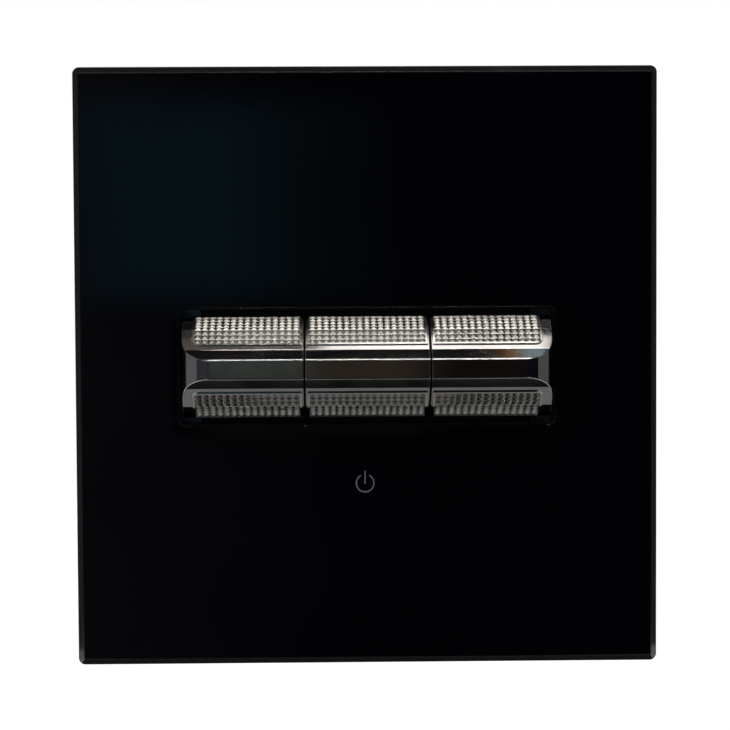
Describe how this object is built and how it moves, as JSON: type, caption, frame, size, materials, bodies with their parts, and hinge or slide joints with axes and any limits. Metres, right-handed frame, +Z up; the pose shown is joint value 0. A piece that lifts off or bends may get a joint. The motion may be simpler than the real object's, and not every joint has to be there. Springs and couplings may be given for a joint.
{
  "type": "three-gang toggle switch",
  "caption": "Square black glass wall switch with a wide middle slot that holds side-by-side knurled metal toggle levers, on a steel yoke and a screw-terminal mechanism box.",
  "frame": {"origin": "midway between the two wall box screws, in the plane of the wall", "axes": "+Z up, +X to the right as seen from the room, +Y into the wall; the front faces -Y"},
  "size_m": [0.086, 0.043, 0.0882],
  "materials": {
    "black_glass": "polished, black behind the glass",
    "tape": "matt",
    "bezel_metal": "dark polished",
    "black_abs": "fine texture",
    "clear_plastic": "frosted",
    "zinc_steel": "zinc plated",
    "grey_nylon": "fine texture",
    "screw_steel": "bright",
    "brass_strip": "bright",
    "board_green": "lacquered",
    "lamp_white": "clear",
    "silver": "dull",
    "lever_chrome": "black nickel, mirror polished",
    "grip_chrome": "knurled, bright",
    "core_nylon": "fine texture",
    "spring_steel": "bright",
    "plunger_white": "smooth"
  },
  "bodies": {
    "mechanism": {"yoke": "zinc_steel", "housing_front": "black_abs", "housing_rear": "grey_nylon", "assembly_screws": "screw_steel", "pivot_pins": "screw_steel", "common_busbar": "brass_strip", "neutral_strip": "brass_strip", "led_board": "board_green", "led_lamp": "lamp_white", "clamp_screws": "screw_steel", "left_output_strip": "brass_strip", "left_fixed_contacts": "silver", "middle_output_strip": "brass_strip", "middle_fixed_contacts": "silver", "right_output_strip": "brass_strip", "right_fixed_contacts": "silver", "left_terminal": "brass_strip", "middle_terminal": "brass_strip", "right_terminal": "brass_strip", "line_terminal": "brass_strip", "neutral_terminal": "brass_strip"},
    "cover": {"glass_plate": "black_glass", "adhesive_frame": "tape", "slot_bezel": "bezel_metal", "cover_carrier": "black_abs", "light_guide": "clear_plastic"},
    "left_lever": {"left_shell": "lever_chrome", "left_upper_grip": "grip_chrome", "left_lower_grip": "grip_chrome", "left_core": "core_nylon", "left_core_screws": "screw_steel", "left_return_springs": "spring_steel", "left_plunger_spring": "spring_steel"},
    "left_plunger_body": {"left_plunger": "plunger_white"},
    "left_seesaw_body": {"left_seesaw": "brass_strip", "left_moving_contacts": "silver"},
    "middle_lever": {"middle_shell": "lever_chrome", "middle_upper_grip": "grip_chrome", "middle_lower_grip": "grip_chrome", "middle_core": "core_nylon", "middle_core_screws": "screw_steel", "middle_return_springs": "spring_steel", "middle_plunger_spring": "spring_steel"},
    "middle_plunger_body": {"middle_plunger": "plunger_white"},
    "middle_seesaw_body": {"middle_seesaw": "brass_strip", "middle_moving_contacts": "silver"},
    "right_lever": {"right_shell": "lever_chrome", "right_upper_grip": "grip_chrome", "right_lower_grip": "grip_chrome", "right_core": "core_nylon", "right_core_screws": "screw_steel", "right_return_springs": "spring_steel", "right_plunger_spring": "spring_steel"},
    "right_plunger_body": {"right_plunger": "plunger_white"},
    "right_seesaw_body": {"right_seesaw": "brass_strip", "right_moving_contacts": "silver"}
  },
  "joints": [
    {"name": "cover_pull", "type": "slide", "parent": "mechanism", "child": "cover", "axis": [0, -1, 0], "range_m": [0, 0.025]},
    {"name": "left_lever_tilt", "type": "hinge", "parent": "mechanism", "child": "left_lever", "pos_m": [-0.01825, -0.0054, 0], "axis": [1, 0, 0], "range_deg": [-6, 6], "stiffness_Nm_per_rad": 0.12, "deforming": ["left_return_springs"]},
    {"name": "left_plunger_slide", "type": "slide", "parent": "left_lever", "child": "left_plunger_body", "axis": [0, -1, 0], "range_m": [0, 0.0015], "stiffness_N_per_m": 300, "springref_m": -0.0005, "deforming": ["left_plunger_spring"]},
    {"name": "left_seesaw_tilt", "type": "hinge", "parent": "mechanism", "child": "left_seesaw_body", "pos_m": [-0.01825, 0.0088, 0], "axis": [1, 0, 0], "range_deg": [-5, 5]},
    {"name": "middle_lever_tilt", "type": "hinge", "parent": "mechanism", "child": "middle_lever", "pos_m": [0, -0.0054, 0], "axis": [1, 0, 0], "range_deg": [-6, 6], "stiffness_Nm_per_rad": 0.12, "deforming": ["middle_return_springs"]},
    {"name": "middle_plunger_slide", "type": "slide", "parent": "middle_lever", "child": "middle_plunger_body", "axis": [0, -1, 0], "range_m": [0, 0.0015], "stiffness_N_per_m": 300, "springref_m": -0.0005, "deforming": ["middle_plunger_spring"]},
    {"name": "middle_seesaw_tilt", "type": "hinge", "parent": "mechanism", "child": "middle_seesaw_body", "pos_m": [0, 0.0088, 0], "axis": [1, 0, 0], "range_deg": [-5, 5]},
    {"name": "right_lever_tilt", "type": "hinge", "parent": "mechanism", "child": "right_lever", "pos_m": [0.01825, -0.0054, 0], "axis": [1, 0, 0], "range_deg": [-6, 6], "stiffness_Nm_per_rad": 0.12, "deforming": ["right_return_springs"]},
    {"name": "right_plunger_slide", "type": "slide", "parent": "right_lever", "child": "right_plunger_body", "axis": [0, -1, 0], "range_m": [0, 0.0015], "stiffness_N_per_m": 300, "springref_m": -0.0005, "deforming": ["right_plunger_spring"]},
    {"name": "right_seesaw_tilt", "type": "hinge", "parent": "mechanism", "child": "right_seesaw_body", "pos_m": [0.01825, 0.0088, 0], "axis": [1, 0, 0], "range_deg": [-5, 5]}
  ],
  "couplings": [
    {"joint": "left_seesaw_tilt", "follows": "left_lever_tilt", "ratio": -0.83333},
    {"joint": "middle_seesaw_tilt", "follows": "middle_lever_tilt", "ratio": -0.83333},
    {"joint": "right_seesaw_tilt", "follows": "right_lever_tilt", "ratio": -0.83333}
  ]
}
